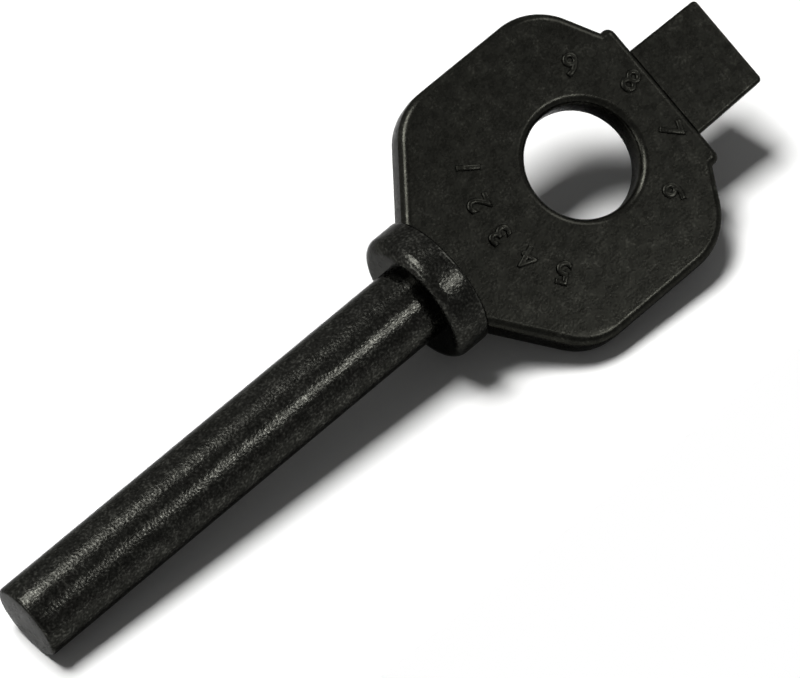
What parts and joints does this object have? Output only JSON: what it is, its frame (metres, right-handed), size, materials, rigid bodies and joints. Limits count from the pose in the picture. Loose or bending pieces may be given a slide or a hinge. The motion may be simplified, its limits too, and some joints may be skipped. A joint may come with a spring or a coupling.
{
  "type": "furniture key",
  "caption": "Black furniture key: round shank, rounded collar, flat eight-sided bow with a finger hole, and a square tongue at the far end.",
  "frame": {"origin": "on the shank's axis, in the plane where the shank meets the collar", "axes": "+X along the key towards the tongue, +Z square to the flat of the bow"},
  "size_m": [0.0924, 0.0306, 0.0142],
  "materials": {
    "shank_black": "blackened steel bar with a fine sparkling grain and a dull gloss",
    "bow_black": "blackened cast surface, finely grained and almost matt"
  },
  "bodies": {
    "root": {"shank": "shank_black", "collar": "shank_black", "bow": "bow_black", "tongue": "bow_black"}
  },
  "joints": []
}
